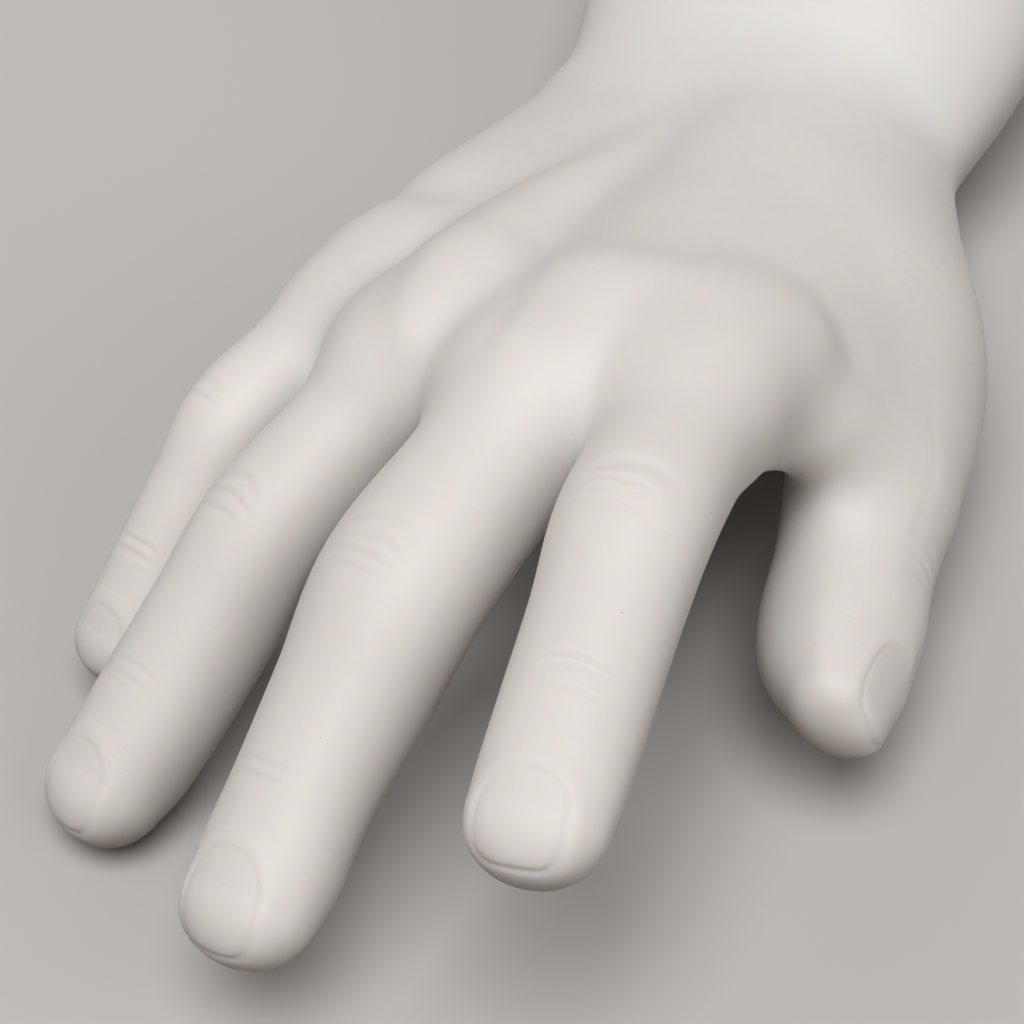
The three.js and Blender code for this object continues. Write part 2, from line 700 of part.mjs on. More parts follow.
// The spring washer is a ring that is sawn through at a slant
function makeSpringWasher() {
  const ring = toSolid(makeRing(SPRING_WASHER_DIAMETER, springBack, springFace));
  const saw = new THREE.BoxGeometry(1.2, SPRING_WASHER_DIAMETER, 3 * SPRING_WASHER_THICKNESS)
    .rotateY(radians(25))
    .translate(0, SPRING_WASHER_DIAMETER / 2, (springBack + springFace) / 2);
  return toGeometry(cut(ring, saw));
}

// The nut's corners are turned off at both ends
function makeNut() {
  const corner = NUT_ACROSS_FLATS / Math.sqrt(3);
  const chamfer = 1;
  const hexagon = toSolid(new THREE.CylinderGeometry(corner, corner, NUT_THICKNESS, 6)
    .rotateX(Math.PI / 2)
    .translate(0, 0, (nutFace + nutBack) / 2));
  const turnedDown = toSolid(turned([
    [0, nutBack], [corner - chamfer, nutBack], [corner, nutBack + chamfer],
    [corner, nutFace - chamfer], [corner - chamfer, nutFace], [0, nutFace],
  ]));
  const bore = rod(STUD_DIAMETER + 2 * SEAT_GAP, nutBack - 1, nutFace + 1);
  return toGeometry(cut(hexagon.intersect(turnedDown), bore));
}

function makeIndexPin() {
  const radius = PIN_DIAMETER / 2;
  const bevel = 0.6;
  return turned([
    [0, pinBottom], [radius, pinBottom], [radius, PIN_STAND - bevel],
    [radius - bevel, PIN_STAND], [0, PIN_STAND],
  ], 16);
}

const materials = {
  vinyl: new THREE.MeshStandardMaterial({ color: 0xe8e3df, roughness: 0.62, metalness: 0 }),
  wood: new THREE.MeshStandardMaterial({ color: 0xc8a878, roughness: 0.75, metalness: 0 }),
  steel: new THREE.MeshStandardMaterial({ color: 0xb4b6b9, roughness: 0.35, metalness: 1 }),
  zinc: new THREE.MeshStandardMaterial({ color: 0xc9c8c2, roughness: 0.4, metalness: 1 }),
};

function piece(name, geometry, material) {
  const mesh = new THREE.Mesh(geometry, materials[material].clone());
  mesh.name = name;
  return mesh;
}

function makeFitting() {
  const fitting = new THREE.Group();
  fitting.applyMatrix4(mouthFrame());
  fitting.add(
    piece('wrist_block', makeWristBlock(), 'wood'),
    piece('fitting_plate', makeFittingPlate(), 'steel'),
    piece('bayonet_stud', makeStud(), 'steel'),
    piece('stud_washer', makeRing(WASHER_DIAMETER, washerBack, washerFace), 'zinc'),
    piece('spring_washer', makeSpringWasher(), 'steel'),
    piece('stud_nut', makeNut(), 'zinc'),
    piece('index_pin', makeIndexPin().translate(pinPlace.x, pinPlace.y, 0), 'steel'),
  );
  screwPlaces.forEach((place, i) => {
    const screw = piece(`plate_screw_${i + 1}`, makeScrew(), 'zinc');
    screw.position.copy(place);
    fitting.add(screw);
  });
  return fitting;
}

// The hand lies palm down on the ring fingertip and the heel of the palm. The origin is on the
// table, under the middle of the whole object.
function layOnTable(hand) {
  const object = new THREE.Group();
  hand.rotation.set(radians(-REST_PITCH), radians(REST_ROLL), 0);
  object.add(hand);
  object.updateMatrixWorld(true);
  const box = new THREE.Box3().setFromObject(object, true);
  const middle = box.getCenter(vector(0, 0, 0));
  hand.position.set(-middle.x, -middle.y, -box.min.z);
  return object;
}

const hand = new THREE.Group();
hand.add(piece('hand_shell', makeHandShell(), 'vinyl'), makeFitting());

export default layOnTable(hand);
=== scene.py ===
"""Looks of a display mannequin hand: a moulded vinyl hand with a steel fitting in its cut forearm.

The hand is drawn in its own frame, in millimetres: origin at the wrist, fingers towards -Y, thumb
towards +X, back of the hand towards +Z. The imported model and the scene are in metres.
"""

import math

import bmesh
import bpy
import numpy as np
from mathutils import Matrix, Vector


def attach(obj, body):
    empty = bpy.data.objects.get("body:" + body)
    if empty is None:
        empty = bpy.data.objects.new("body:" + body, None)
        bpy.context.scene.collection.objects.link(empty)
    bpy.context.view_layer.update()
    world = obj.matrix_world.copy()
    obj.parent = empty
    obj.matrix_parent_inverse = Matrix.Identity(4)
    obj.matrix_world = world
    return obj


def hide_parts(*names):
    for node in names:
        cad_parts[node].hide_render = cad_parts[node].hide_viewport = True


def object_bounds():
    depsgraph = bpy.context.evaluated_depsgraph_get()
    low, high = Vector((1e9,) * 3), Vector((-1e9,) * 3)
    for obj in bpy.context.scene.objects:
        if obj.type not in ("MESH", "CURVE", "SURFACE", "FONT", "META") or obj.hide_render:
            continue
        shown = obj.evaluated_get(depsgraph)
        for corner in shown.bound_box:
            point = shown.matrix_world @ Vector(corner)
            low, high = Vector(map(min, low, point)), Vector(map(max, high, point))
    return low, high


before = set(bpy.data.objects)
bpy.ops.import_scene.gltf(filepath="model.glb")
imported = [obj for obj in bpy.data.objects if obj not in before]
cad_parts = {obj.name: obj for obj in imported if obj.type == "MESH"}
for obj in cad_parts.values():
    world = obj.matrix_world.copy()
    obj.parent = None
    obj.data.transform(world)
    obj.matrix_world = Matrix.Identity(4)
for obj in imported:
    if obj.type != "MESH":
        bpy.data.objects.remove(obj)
cad_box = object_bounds()

# How the hand lies on the table: the wrist's place in millimetres, and the hand's tilts in degrees
WRIST_PLACE = (2.03, 41.88, 21.23)
REST_PITCH = 18.05
REST_ROLL = 2.15

# The forearm is bent back at the wrist and cut off square
WRIST_BEND = 38
FOREARM_LENGTH = 85

# The camera of the photograph, in the hand's frame
CAMERA_PLACE = (116.7, -465.7, 177.2)
CAMERA_AIM = (-0.272, 0.843, -0.464)
CAMERA_UP = (-0.257, 0.401, 0.88)
CAMERA_LENS = 112.05
SENSOR_WIDTH = 36
CAMERA_NEAREST = 0.01

# Soft lamps: where each one shines from, in the hand's frame, its strength and its spread in
# degrees
LAMPS = {
    "key": ((0.08, -0.6, 0.79), 2.12, 40),
    "right": ((0.8, -0.35, 0.48), 0.62, 45),
    "left": ((-0.8, -0.4, 0.45), 0.38, 50),
}

# The studio as the camera and reflections see it, and the dimmer, warmer light that it gives
STUDIO_SEEN = (0.6, 0.605, 0.61, 1)
STUDIO_FILL = (1, 0.8, 0.62, 1)
FILL_STRENGTH = 0.12
FLOOR_SEEN = (0.56, 0.55, 0.54, 1)
FLOOR_BOUNCE = (0.08, 0.065, 0.05, 1)

# The floor lies a hair under the hand. Both sizes are in metres
FLOOR_RADIUS = 14
FLOOR_DROP = 0.0001

# Each finger: the centre of its knuckle, the bends at its three joints, spread, twist, the lengths
# of its bones, and its width over the knuckle, the middle joint, the end joint and the nail
FINGERS = {
    "index": dict(knuckle=(22.1, -88.7, 3.1), bends=(13.8, 21.3, -0.9), spread=0.9, twist=-5.5,
                  bones=(40.4, 25.8, 23.9), widths=(22.2, 20.2, 18.7, 18.5)),
    "middle": dict(knuckle=(4.4, -92.4, 2.2), bends=(31.1, 15.2, 0.8), spread=-18.6, twist=-9.6,
                   bones=(46.1, 30.5, 22.6), widths=(21.6, 22.9, 19.1, 19.3)),
    "ring": dict(knuckle=(-15.7, -86, -1.3), bends=(38.8, 14.9, -4.4), spread=-30.4, twist=-4.5,
                 bones=(42.2, 26.7, 22.6), widths=(18.2, 18.6, 19.4, 18.8)),
    "little": dict(knuckle=(-31.3, -70.9, -6), bends=(28.8, 26, 2.8), spread=-27.5, twist=-5.1,
                   bones=(34.5, 22.4, 19.5), widths=(18.8, 15.2, 13.8, 14.2)),
}

# Stations along every finger: bone, how far along it, shares of the finger's four widths, and the
# heights above and below the bone as shares of the half width
FINGER_PROFILE = [
    (0, -0.05, (1, 0, 0, 0), 0.62, 1.13),
    (0, 0.3, (0.73, 0.25, 0, 0), 0.9, 1.07),
    (0, 0.62, (0.37, 0.57, 0, 0), 0.99, 1.02),
    (1, 0, (0, 1, 0, 0), 0.93, 0.9),
    (1, 0.5, (0, 0.485, 0.485, 0), 0.94, 1),
    (2, 0, (0, 0, 1, 0), 0.87, 0.89),
    (2, 0.4, (0, 0, 0, 1), 0.8, 0.95),
    (2, 0.6, (0, 0, 0, 0.975), 0.755, 0.83),
]

# How far the ends of a finger stand out, as shares of its width at the knuckle and of its half
# width at the tip
KNUCKLE_DOME = 0.28
FINGERTIP_DOME = 0.98

# The thumb's root and bones, then its stations: bone, how far along it, half width, height above
# and below
THUMB = dict(root=(24, -15.3, -8.6), swing=19.2, drop=12.1, twist=51.2,
             bends=(-2.5, 17, -8.1), bones=(45.8, 29.9, 29.6), tip_dome=6)
THUMB_PROFILE = [
    (0, -0.05, 12, 8, 13),
    (0, 0.5, 13.5, 9.6, 14.5),
    (1, 0, 13, 10.4, 13),
    (1, 0.45, 11, 9.3, 12),
    (2, 0, 11.3, 10.2, 10.8),
    (2, 0.3, 11.2, 9.6, 12.4),
    (2, 0.55, 10.5, 7.6, 11.6),
    (2, 0.82, 8.2, 5.7, 6.8),
]

# The rays of the palm: root, then half width, height above and below at the root and the knuckle
PALM_RAYS = {
    "index": ((12, -14, 0), (11, 10.5, 17), (11.4, 8.7, 14.5)),
    "middle": ((3, -13, 1), (11, 10.5, 17), (11, 8.7, 14.5)),
    "ring": ((-9, -12, 0), (10, 10, 17), (9.6, 7.8, 13.5)),
    "little": ((-21, -12, -3), (13, 10, 16), (10, 7.2, 12.6)),
}

# Forearm sections: distance from the wrist, offset to the thumb side, half width, height above
# and below
FOREARM_SECTIONS = [
    (95, 2.5, 43.5, 28, 33),
    (60, 2.5, 40.5, 25, 30),
    (26, 1, 37.2, 22, 26),
    (10, 0.2, 34.5, 18.6, 23),
    (-3, 0.5, 31.5, 17, 21),
]

# Pads of flesh: stations, swing, tilt and the half width, height above and below at each station
THUMB_PAD = (((20, -18, -13), (31, -50, -17)), 22, 0, ((14, 14, 13), (14, 13, 14)))
HEEL_PAD = (((-20, -14, -12), (-26, -48, -12)), -10, 0, ((13, 12, 12), (12, 11, 12)))
THUMB_WEB = (((22, -22, -4), (33, -50, -3), (33, -70, -3), (33, -80, -4)), 12, 35,
             ((13, 12, 12), (15, 11, 12), (12, 8, 9), (10, 5, 6)))
THUMB_FOLD = (((26, -91, 0), (32, -90, -4), (38, -83, -9), (44, -75, -17)), 0, 35,
              ((3.5, 3.5, 3.5), (3, 3, 3), (4, 4, 4), (7, 7, 7)))

# The tendon of the ring finger on the back of the hand
RING_TENDON = (((-6.5, -38, 2.2), (-9.5, -52, 3.4), (-13.5, -67, 2.6), (-15.5, -80, 2.2),
                (-16.8, -92, 0)), 0, 0, ((4.5, 5, 5),) * 5)

# Webs between the fingers: the two fingers, how far along their first bones, and radius
FINGER_WEBS = [
    ("index", "middle", 0.25, 9.5),
    ("middle", "ring", 0.3, 7),
    ("ring", "little", 0.3, 6),
]

# How far the ends of the other sweeps stand out
RAY_DOME = 9
PAD_DOME = 10
FOREARM_DOMES = (16, 14)

# How square the sections are. 2 makes them true ovals
DIGIT_POWER = 2.15
FOREARM_POWER = 2.1

# Over what width each shape flows into those before it
RAY_BLENDS = {"index": 1, "middle": 18, "ring": 9, "little": 11}
PAD_BLEND = 12
FOREARM_BLEND = 11
TENDON_BLEND = 6
THUMB_WEB_BLEND = 14
THUMB_BLEND = 10
FINGER_BLEND = 2.5
WEB_BLEND = 10
FINGERS_TO_PALM = 6

# Nails: how far along the last bone they start and end, the height of their ends over the bone,
# half width, shift to the side, turn about the bone and how far the middle is sunk
NAILS = {
    "index": dict(start=11.6, end=22.9, rise=(7.3, 3.2), half=5.7, shift=-0.5, turn=-2, dish=0.2),
    "middle": dict(start=9.8, end=22.3, rise=(7.7, 2.6), half=5.6, shift=0, turn=0, dish=0.2),
    "ring": dict(start=10.7, end=21.9, rise=(7.4, 2.2), half=5.2, shift=0, turn=0, dish=0.2),
    "little": dict(start=8.8, end=18.3, rise=(5.6, 2.2), half=4.2, shift=0, turn=4, dish=0.15),
    "thumb": dict(start=15.8, end=28.2, rise=(7.6, 2.6), half=5.2, shift=0, turn=27, dish=0.45),
}

# A nail's outline is rounder at its root than at its tip, and changes over this share of its half
# length
NAIL_ROOT_POWER = 2.3
NAIL_TIP_POWER = 3.6
NAIL_POWER_CHANGE = 0.6

# Where the zones of a nail begin and over what width they fade in. The tip and the root are
# measured along the nail and the middle inwards across it, in half lengths and half widths from
# its centre. The plate is measured inwards from its edge and the outer side outwards, in
# millimetres
NAIL_ZONES = dict(tip=(0.7, 0.25), root=(0.55, 0.3), middle=(-0.8, 0.35), plate=(0.3, 0.6),
                  outer_side=(-3.5, 2))

# The free edge of a nail stands up a little. A groove runs round the nail, deeper and narrower at
# the tip and shallower at the root, and a fold of skin lies beside it
NAIL_LIFT = 0.08
NAIL_GROOVE = dict(depth=0.13, less_at_root=0.04, more_at_tip=0.12, width=0.4, thinner_at_tip=0.08)
NAIL_FOLD = dict(height=0.24, less_at_root=0.4, distance=1.2, width=1.1)

# Wrinkles over the joints: bone, place across and along it, half length, bow, depth and width
WRINKLES = {
    "index": [
        (1, 0.6, -4.6, 5.2, -0.05, 0.3, 1.0),
        (1, -1.6, -1.9, 4.2, -0.03, 0.26, 0.45),
        (1, -2.2, 1.6, 4.4, -0.012, 0.22, 0.4),
        (1, -2.4, 2.6, 3.4, -0.01, 0.18, 0.35),
        (2, 0.2, -3.4, 3.6, -0.03, 0.24, 0.4),
        (2, 0.4, -1.9, 3.2, -0.02, 0.2, 0.35),
        (2, 0.6, 0.9, 4.2, -0.02, 0.16, 0.4),
    ],
    "middle": [
        (1, 0.4, -5.6, 5.2, -0.06, 0.22, 0.8),
        (1, 0.6, -2.2, 4.6, -0.05, 0.26, 0.5),
        (1, -1.2, 0.2, 4.2, -0.03, 0.26, 0.5),
        (1, 0.8, 2.6, 4.4, 0.02, 0.18, 0.5),
        (2, -1.2, -1.6, 3.4, -0.02, 0.15, 0.4),
        (2, -1.2, 0.4, 3.2, -0.02, 0.15, 0.4),
    ],
    "ring": [
        (1, -0.6, -4.2, 4.2, -0.07, 0.26, 0.7),
        (1, -0.4, -1.4, 4.2, -0.05, 0.28, 0.5),
        (1, -0.8, 1.2, 3.6, -0.03, 0.2, 0.45),
        (2, 0.8, -1.4, 3.0, -0.02, 0.15, 0.4),
        (2, 0.8, 0.6, 2.8, -0.02, 0.15, 0.4),
    ],
    "little": [
        (1, -1.4, -3.2, 3.4, -0.05, 0.2, 0.6),
        (1, -1.4, -0.8, 3.2, -0.04, 0.2, 0.45),
        (2, 0.6, -1.6, 3.0, -0.02, 0.22, 0.4),
        (2, 0.6, 0.2, 3.0, -0.02, 0.2, 0.4),
    ],
    "thumb": [
        (2, 1.5, -1.0, 5.2, -0.035, 0.2, 0.5),
        (2, 1.8, 1.6, 5.0, -0.03, 0.22, 0.5),
        (2, 2.2, 4.2, 4.2, -0.02, 0.16, 0.5),
    ],
}

# The share of those depths that the moulding keeps, and of that the ridge on each side
WRINKLE_SHARE = 0.62
RIDGE_SHARE = 0.35

# Over what width a wrinkle fades at its ends, and at what height over the bone and over what width
# it fades down the sides of the finger
WRINKLE_END_FADE = 2.2
WRINKLE_BOTTOM = 2
WRINKLE_SIDE_FADE = 2

# Grooves down the back of the hand beside the tendons: points seen from above, depth and width
GROOVES = [
    (((-13, -44), (-19, -60), (-25, -72), (-26, -84), (-24.6, -94), (-25.4, -102)), 0.6, 2.8),
    (((-8, -62), (-7.8, -72), (-7.3, -82), (-5.3, -94.5), (-4.4, -106), (-6.4, -114)), 0.6, 2.6),
    (((10.2, -104), (11.2, -111), (12, -115)), 0.2, 1.6),
]

# From how many points along a groove the distance to it is measured, how quickly its ends fade,
# and the height at which it starts and the width over which it fades in
GROOVE_SAMPLES = 60
GROOVE_END_POWER = 0.6
GROOVE_BOTTOM = -6
GROOVE_FADE = 4

# Distances are only worked out this near to a shape
FAR = 20

# Nearer to the middle of a sweep than this share of its radius, its smallest radius is taken
NEAR_MIDDLE = 0.05

# Lengths below this count as none
TINY = 1e-6

# The visual skin lies this near to the CAD skin, which is a little plainer
SKIN_MARGIN = 2

# Points this near to the plane of the cut end are on it
END_MARGIN = 0.02

# How finely the sweeps are divided between stations, and the skin, everywhere and once more at
# the nails and wrinkles
STATION_STEPS = 8
SKIN_CUTS = 3
DETAIL_CUTS = 3

# How far the finer skin goes on round a nail, whose middle lies this high over the bone, and
# beyond the ends of a wrinkle and beside it, on the upper side of the finger
NAIL_SURROUND = 6
NAIL_HEIGHT = 4
WRINKLE_SURROUND = (2, 2.4)
UPPER_SIDE = 1.5

# The farthest that a point of the skin moves in one round, over what length the field's slope is
# measured, and how far a point goes towards the middle of its neighbours in one round
LARGEST_MOVE = 0.8
SLOPE_STEP = 0.3
RELAX_SHARE = 0.5

# Colours of the materials. The mottled vinyl and the wood run from one colour to the other
VINYL_COLOURS = ((0.745, 0.723, 0.708), (0.79, 0.77, 0.755))
VINYL_SPECK = (0.66, 0.62, 0.58)
WOOD_COLOURS = ((0.6, 0.43, 0.25), (0.43, 0.27, 0.13))
WOOD_PORE = (0.72, 0.7, 0.66)
UNCHANGED = (1, 1, 1)

# Metals: colour, roughness, scale of the marks, and how much denser they are along each axis. The
# marks are a shade darker
METALS = {
    "brushed_plate": ((0.56, 0.57, 0.59), 0.36, 300, (14, 1, 1)),
    "turned_steel": ((0.6, 0.61, 0.63), 0.28, 260, (1, 9, 1)),
    "zinc_steel": ((0.66, 0.65, 0.62), 0.4, 220, (1, 1, 1)),
    "spring_steel": ((0.2, 0.21, 0.23), 0.42, 260, (1, 1, 1)),
}
MARK_SHADE = 0.82

# What each piece of the fitting is made of
FITTING_LOOKS = {
    "fitting_plate": "brushed_plate",
    "bayonet_stud": "turned_steel",
    "index_pin": "turned_steel",
    "stud_washer": "zinc_steel",
    "stud_nut": "zinc_steel",
    "spring_washer": "spring_steel",
    "plate_screw_1": "zinc_steel",
    "plate_screw_2": "zinc_steel",
    "plate_screw_3": "zinc_steel",
}


def turn_x(degrees):
    c, s = math.cos(math.radians(degrees)), math.sin(math.radians(degrees))
    return np.array([[1, 0, 0], [0, c, -s], [0, s, c]])


def turn_y(degrees):
    c, s = math.cos(math.radians(degrees)), math.sin(math.radians(degrees))
    return np.array([[c, 0, s], [0, 1, 0], [-s, 0, c]])


def turn_z(degrees):
    c, s = math.cos(math.radians(degrees)), math.sin(math.radians(degrees))
    return np.array([[c, -s, 0], [s, c, 0], [0, 0, 1]])


HAND_TURN = turn_x(-REST_PITCH) @ turn_y(REST_ROLL)
ARM_AXIS = np.array([0, math.cos(math.radians(WRIST_BEND)), math.sin(math.radians(WRIST_BEND))])


def to_hand(points):
    """Metres of the scene to millimetres of the hand's own frame."""
    return (np.asarray(points) * 1000 - WRIST_PLACE) @ HAND_TURN


def to_scene(points):
    """Millimetres of the hand's own frame to metres of the scene."""
    return (np.asarray(points) @ HAND_TURN.T + WRIST_PLACE) / 1000


def skeleton(root, turn, bends, bones):
    """Each bone of a digit as its start, direction, sideways and upward directions and length."""
    place = np.array(root, float)
    digit = []
    for bend, length in zip(bends, bones):
        turn = turn @ turn_x(bend)
        along = turn @ np.array([0, -1, 0])
        side = turn @ np.array([1, 0, 0])
        digit.append((place, along, side, np.cross(along, side), length))
        place = place + along * length
    return digit


def smooth_curve(points, share):
    """A Catmull-Rom curve through the points, at a share of its way."""
    points = np.asarray(points, float)
    last = len(points) - 1
    i = min(int(share * last), last - 1)
    w = share * last - i
    start, end = points[i], points[i + 1]
    before = 2 * points[0] - points[1] if i == 0 else points[i - 1]
    after = 2 * points[-1] - points[-2] if i + 1 == last else points[i + 2]
    slope0 = (end - before) / 2
    slope1 = (after - start) / 2
    return ((2 * w**3 - 3 * w**2 + 1) * start + (w**3 - 2 * w**2 + w) * slope0
            + (3 * w**2 - 2 * w**3) * end + (w**3 - w**2) * slope1)


def unit(v):
    return v / np.linalg.norm(v)


def sweep(stations, start_dome, end_dome, power=2.0):
    """A smooth tube of oval sections. A station is centre, side, (half width, above, below).

    Every link between two sections has a round cap at each end, which fills the gap at a bend. The
    room is how far the cap may reach without standing out of the ends of the whole tube.
    """
    centres, sides, sizes = (np.array([s[i] for s in stations], float) for i in range(3))
    count = (len(stations) - 1) * STATION_STEPS
    links = []
    for i in range(count):
        t0, t1 = i / count, (i + 1) / count
        start, end = smooth_curve(centres, t0), smooth_curve(centres, t1)
        length = np.linalg.norm(end - start)
        along = (end - start) / length
        side0, side1 = (smooth_curve(sides, t) for t in (t0, t1))
        side0 = unit(side0 - along * side0.dot(along))
        side1 = unit(side1 - along * side1.dot(along))
        links.append(dict(
            start=start, end=end, along=along, length=length,
            side=(side0, side1), top=(np.cross(along, side0), np.cross(along, side1)),
            size=(smooth_curve(sizes, t0), smooth_curve(sizes, t1)),
        ))
    lengths = [link["length"] for link in links]
    for i, link in enumerate(links):
        link["room"] = (start_dome + sum(lengths[:i]), end_dome + sum(lengths[i + 1:]))
        link["capped"] = (i == 0, i == count - 1)
    ends = np.array([link["start"] for link in links] + [links[-1]["end"]])
    reach = sizes.max() + FAR
    return dict(links=links, low=ends.min(0) - reach, high=ends.max(0) + reach, power=power)


def link_distance(link, points, power):
    """Signed distance, near enough, from each point to one link of a sweep."""
    offset = points - link["start"]
    travel = offset @ link["along"]
    part = np.clip(travel / link["length"], 0, 1)
    past = travel - part * link["length"]

    def mix(ends):
        return ends[0] + (ends[1] - ends[0]) * part

    x = mix([offset @ side for side in link["side"]])
    z = mix([offset @ top for top in link["top"]])
    half, above, below = (mix([size[k] for size in link["size"]]) for k in range(3))
    height = np.where(z > 0, above, below)
    round_end = np.minimum(half, np.minimum(above, below))
    dome0, dome1 = (
        room if capped else np.minimum(round_end, room)
        for room, capped in zip(link["room"], link["capped"])
    )
    dome = np.where(past < 0, dome0, dome1)
    total = (np.abs(x / half) ** power + np.abs(z / height) ** power
             + np.abs(past / dome) ** power)
    ratio = total ** (1 / power)
    reach = np.sqrt(x * x + z * z + past * past)
    radius = np.where(ratio > NEAR_MIDDLE, reach / np.maximum(ratio, NEAR_MIDDLE), round_end)
    return (ratio - 1) * radius


def distance(shape, points):
    """Signed distance, near enough, from each point to a sweep: negative inside."""
    result = np.full(len(points), float(FAR))
    near = ((points > shape["low"]) & (points < shape["high"])).all(axis=1)
    close = points[near]
    nearest = np.full(len(close), float(FAR))
    for link in shape["links"]:
        nearest = np.minimum(nearest, link_distance(link, close, shape["power"]))
    result[near] = nearest
    return result


def blend(a, b, width):
    """Smooth union: two surfaces flow into each other over about the given width."""
    share = np.maximum(width - np.abs(a - b), 0) / width
    return np.minimum(a, b) - share * share * width / 4


def place_on(digit, bone, share):
    """A point on a bone, a share of its way along it, and the bone's sideways direction."""
    start, along, side, _, length = digit[bone]
    return start + along * length * share, side


def finger_shape(name):
    finger = FINGERS[name]
    digit = DIGITS[name]
    stations = []
    for bone, share, shares, above, below in FINGER_PROFILE:
        half = sum(s * w for s, w in zip(shares, finger["widths"])) / 2
        centre, side = place_on(digit, bone, share)
        stations.append((centre, side, (half, half * above, half * below)))
    tip = stations[-1][2][0] * FINGERTIP_DOME
    return sweep(stations, finger["widths"][0] * KNUCKLE_DOME, tip, DIGIT_POWER)


def thumb_shape():
    stations = []
    for bone, share, *sizes in THUMB_PROFILE:
        centre, side = place_on(DIGITS["thumb"], bone, share)
        stations.append((centre, side, sizes))
    return sweep(stations, THUMB_PROFILE[0][2], THUMB["tip_dome"], DIGIT_POWER)


def ray_shape(name):
    root, at_root, at_knuckle = (np.array(v, float) for v in PALM_RAYS[name])
    head = np.array(FINGERS[name]["knuckle"], float)
    side = (1, 0, 0)
    middle = ((root + head) / 2, side, (at_root + at_knuckle) / 2)
    return sweep([(root, side, at_root), middle, (head, side, at_knuckle)], RAY_DOME, RAY_DOME)


def forearm_shape():
    stations = [
        (ARM_AXIS * out + np.array([offset, 0, 0]), (1, 0, 0), sizes)
        for out, offset, *sizes in FOREARM_SECTIONS
    ]
    return sweep(stations, *FOREARM_DOMES, FOREARM_POWER)


def pad_shape(points, swing, tilt, sizes):
    side = turn_z(swing) @ turn_y(tilt) @ np.array([1, 0, 0])
    return sweep([(p, side, s) for p, s in zip(points, sizes)], PAD_DOME, PAD_DOME)


def web_shape(name_a, name_b, share, radius):
    start, end = (place_on(DIGITS[name], 0, share)[0] for name in (name_a, name_b))
    stations = [(p, (0, -1, 0), (radius,) * 3) for p in (start, (start + end) / 2, end)]
    return sweep(stations, radius, radius)


DIGITS = {
    name: skeleton(f["knuckle"], turn_z(f["spread"]) @ turn_y(f["twist"]), f["bends"], f["bones"])
    for name, f in FINGERS.items()
}
DIGITS["thumb"] = skeleton(
    THUMB["root"],
    turn_z(THUMB["swing"]) @ turn_x(THUMB["drop"]) @ turn_y(THUMB["twist"]),
    THUMB["bends"],
    THUMB["bones"],
)


def hand_shapes():
    """Every sweep of the palm and the fingers, with its blend into those before it."""
    palm = [(ray_shape(name), RAY_BLENDS[name]) for name in PALM_RAYS]
    palm += [
        (pad_shape(*THUMB_PAD), PAD_BLEND),
        (pad_shape(*HEEL_PAD), PAD_BLEND),
        (forearm_shape(), FOREARM_BLEND),
        (pad_shape(*RING_TENDON), TENDON_BLEND),
        (pad_shape(*THUMB_WEB), THUMB_WEB_BLEND),
        (pad_shape(*THUMB_FOLD), THUMB_BLEND),
        (thumb_shape(), THUMB_BLEND),
    ]
    fingers = [(finger_shape(name), FINGER_BLEND) for name in FINGERS]
    webs = [(web_shape(*web), WEB_BLEND) for web in FINGER_WEBS]
    return palm, fingers + webs


PALM_SHAPES, FINGER_SHAPES = hand_shapes()


def merged(shapes, points):
    """Signed distance from each point to several sweeps, run into each other one by one."""
    field = distance(shapes[0][0], points)
    for shape, width in shapes[1:]:
        field = blend(field, distance(shape, points), width)
    return field


def hand_field(points):
    """Signed distance from each point to the hand's skin."""
    return blend(merged(PALM_SHAPES, points), merged(FINGER_SHAPES, points), FINGERS_TO_PALM)


def bell(x, width):
    """1 where x is 0, falling to 0 on both sides over about the given width."""
    return np.exp(-((x / width) ** 2))


def step(x, width):
    """From 0 to 1 as x passes 0, over about the given width."""
    return 0.5 + 0.5 * np.tanh(2 * x / width)


def nail_zone(zone, x):
    """From 0 to 1 as x enters a zone of a nail."""
    start, fade = NAIL_ZONES[zone]
    return step(x - start, fade)


def nail_relief(name, points):
    """Height of a nail's plate, the groove round it and the folds of skin beside it."""
    nail = NAILS[name]
    start, along, side, top, _ = DIGITS[name][2]
    turn = math.radians(nail["turn"])
    across = side * math.cos(turn) - top * math.sin(turn)
    up = top * math.cos(turn) + side * math.sin(turn)
    low, high = nail["rise"]
    ends = [along * nail["start"] + up * low, along * nail["end"] + up * high]
    length = np.linalg.norm(ends[1] - ends[0]) / 2
    forward = unit(ends[1] - ends[0])
    outward = np.cross(forward, across)
    offset = points - (start + (ends[0] + ends[1]) / 2 + across * nail["shift"])
    u = offset @ across / nail["half"]
    v = offset @ forward / length
    power = NAIL_ROOT_POWER + (NAIL_TIP_POWER - NAIL_ROOT_POWER) * step(v, NAIL_POWER_CHANGE)
    ratio = (np.abs(u) ** power + np.abs(v) ** power) ** (1 / power)
    edge = (ratio - 1) * (nail["half"] + length) / 2
    facing = nail_zone("outer_side", offset @ outward)
    tip = nail_zone("tip", v) * nail_zone("middle", -np.abs(u))
    root = nail_zone("root", -v)
    inside = nail_zone("plate", -edge)
    sunk = nail["dish"] * np.clip(1 - u * u, 0, 1) * np.sqrt(np.clip(1 - v * v, 0, 1))
    plate = inside * (NAIL_LIFT * tip - sunk)
    depth = (NAIL_GROOVE["depth"] - NAIL_GROOVE["less_at_root"] * root
             + NAIL_GROOVE["more_at_tip"] * tip)
    groove = -depth * bell(edge, NAIL_GROOVE["width"] - NAIL_GROOVE["thinner_at_tip"] * tip)
    height = NAIL_FOLD["height"] * (1 - tip) * (1 - NAIL_FOLD["less_at_root"] * root)
    fold = height * bell(edge - NAIL_FOLD["distance"], NAIL_FOLD["width"])
    return facing * (plate + groove + fold)


